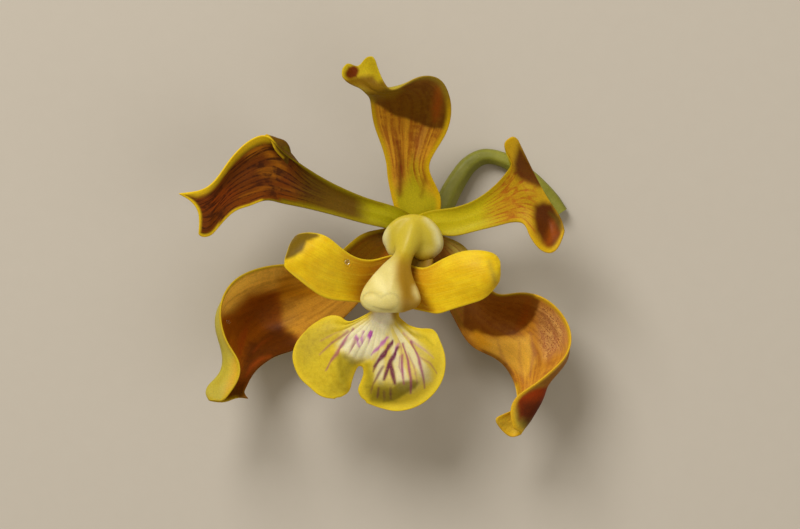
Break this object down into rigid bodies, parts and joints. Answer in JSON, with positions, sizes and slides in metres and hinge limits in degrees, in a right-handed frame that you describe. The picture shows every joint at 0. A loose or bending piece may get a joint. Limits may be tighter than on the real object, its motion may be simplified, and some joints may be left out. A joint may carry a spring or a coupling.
{
  "type": "orchid bloom",
  "caption": "Cut orchid bloom lying on its back: brown and gold sepals and petals, yellow side lobes, a cream column and a white-based lip streaked with purple.",
  "frame": {"origin": "middle of the bloom's outline seen from its face, on the surface that it lies on", "axes": "+X to the right of the face, +Y towards the dorsal sepal, +Z out of the bloom's face"},
  "size_m": [0.0318, 0.0304, 0.0118],
  "materials": {
    "pedicel_green": "olive green, fine-grained and satin",
    "sepal_gold": "waxy, golden with red-brown veins and yellow margins",
    "sepal_brown": "waxy, dark red-brown with yellow margins",
    "petal_brown": "waxy, dark brown netted veins, yellow margins and a green-yellow claw",
    "petal_yellow": "waxy, green-yellow claw, orange veins and brown ends",
    "lip_yellow": "finely veined, yellow with a white middle and purple streaks",
    "column_cream": "smooth, waxy cream that is greener at the base",
    "cap_cream": "smooth, pale yellow"
  },
  "bodies": {
    "root": {"ovary_pedicel": "pedicel_green", "dorsal_sepal": "sepal_gold", "lateral_sepal_left": "sepal_brown", "lateral_sepal_right": "sepal_gold", "petal_left": "petal_brown", "petal_right": "petal_yellow", "lip": "lip_yellow", "column": "column_cream", "anther_cap": "cap_cream"}
  },
  "joints": []
}
